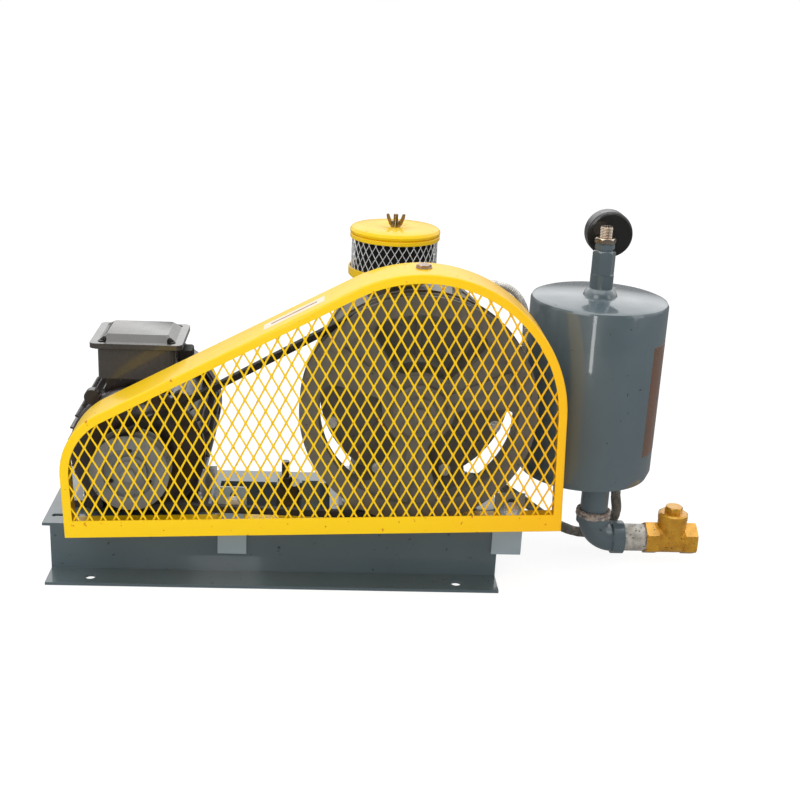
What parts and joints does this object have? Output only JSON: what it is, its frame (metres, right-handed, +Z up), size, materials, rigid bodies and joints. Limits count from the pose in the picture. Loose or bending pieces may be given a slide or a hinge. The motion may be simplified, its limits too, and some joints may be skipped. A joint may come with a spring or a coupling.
{
  "type": "belt-driven rotary vane blower",
  "caption": "Belt-driven rotary vane blower set: motor, V-belt under a mesh guard, vane blower, air filter, oil tank with relief valve and gauge, check valve, on a folded steel base.",
  "frame": {"origin": "on the floor, in the middle of the four floor holes of the base", "axes": "+X towards the tank and outlet, +Y away from the belt guard, +Z up"},
  "size_m": [0.889, 0.329, 0.4815],
  "materials": {
    "guard_yellow": "gloss enamel",
    "tank_grey": "gloss enamel, grey-blue",
    "blower_grey": "painted casting, dark grey",
    "motor_black": "painted casting, black-brown",
    "zinc": "bright zinc plate",
    "steel": "turned steel",
    "laminations": "stacked sheet",
    "rubber": "matt",
    "brass": "satin",
    "galvanised": "galvanised",
    "foam": "open foam",
    "carbon": "carbon vane",
    "black_plastic": "matt",
    "gauge_black": "satin",
    "dial_white": "printed",
    "glass": "clear",
    "braid": "woven braid"
  },
  "bodies": {
    "set": {"base_frame": "tank_grey", "guard_frame": "guard_yellow", "guard_grille": "guard_yellow", "guard_brackets": "tank_grey", "guard_bolts": "zinc", "tension_clamp": "motor_black", "motor_frame": "motor_black", "motor_front_shield": "motor_black", "motor_rear_shield": "motor_black", "motor_bearings": "steel", "motor_stator": "laminations", "motor_fan_cover": "motor_black", "terminal_box": "motor_black", "terminal_gasket": "rubber", "terminal_lid": "motor_black", "terminal_lid_screws": "zinc", "cable_gland": "black_plastic", "motor_foot_bolts": "zinc", "drive_belt": "rubber", "blower_cylinder": "blower_grey", "blower_front_cover": "blower_grey", "blower_rear_cover": "blower_grey", "blower_cover_bolts": "zinc", "blower_bearings": "steel", "blower_foot_bolts": "zinc", "filter_base": "guard_yellow", "filter_element": "foam", "filter_screen": "zinc", "filter_cap": "guard_yellow", "filter_stud": "zinc", "tank_shell": "tank_grey", "tank_bracket": "tank_grey", "tank_bracket_bolts": "zinc", "discharge_pipe": "tank_grey", "outlet_elbow": "tank_grey", "outlet_nipple": "galvanised", "check_valve_body": "brass", "check_valve_bonnet": "brass", "relief_valve_body": "tank_grey", "gauge_case": "gauge_black", "gauge_dial": "dial_white", "gauge_glass": "glass", "oil_hose_upper": "braid", "oil_hose_lower": "braid", "hose_fittings": "galvanised"},
    "motor_rotor": {"motor_shaft": "steel", "motor_rotor": "laminations", "motor_cooling_fan": "black_plastic", "motor_pulley": "blower_grey", "motor_pulley_screw": "zinc"},
    "blower_rotor": {"blower_shaft": "steel", "blower_rotor": "steel", "rotor_vanes": "carbon", "big_pulley": "blower_grey", "big_pulley_screw": "zinc"},
    "wing_nut": {"filter_wing_nut": "zinc"},
    "valve_flap": {"check_valve_flap": "brass"},
    "gauge_pointer": {"gauge_pointer": "black_plastic"},
    "relief_adjuster": {"relief_adjuster": "brass"}
  },
  "joints": [
    {"name": "motor_spin", "type": "hinge", "parent": "set", "child": "motor_rotor", "pos_m": [-0.184, -0.1, 0.158], "axis": [0, 1, 0], "continuous": true},
    {"name": "blower_spin", "type": "hinge", "parent": "set", "child": "blower_rotor", "pos_m": [0.177, -0.1, 0.25], "axis": [0, 1, 0], "continuous": true},
    {"name": "flap_swing", "type": "hinge", "parent": "set", "child": "valve_flap", "pos_m": [0.5387, -0.03, 0.0535], "axis": [0, -1, 0], "range_deg": [0, 50]},
    {"name": "pointer_turn", "type": "hinge", "parent": "set", "child": "gauge_pointer", "pos_m": [0.433, 0.0385, 0.451], "axis": [0, -1, 0], "range_deg": [0, 270]},
    {"name": "wing_nut_turn", "type": "hinge", "parent": "set", "child": "wing_nut", "pos_m": [0.146, 0.03, 0.45], "axis": [0, 0, 1], "continuous": true},
    {"name": "relief_turn", "type": "hinge", "parent": "set", "child": "relief_adjuster", "pos_m": [0.422, 0, 0.45], "axis": [0, 0, 1], "range_deg": [-90, 90]}
  ],
  "couplings": [
    {"joint": "motor_spin", "follows": "blower_spin", "ratio": 3.1164}
  ]
}
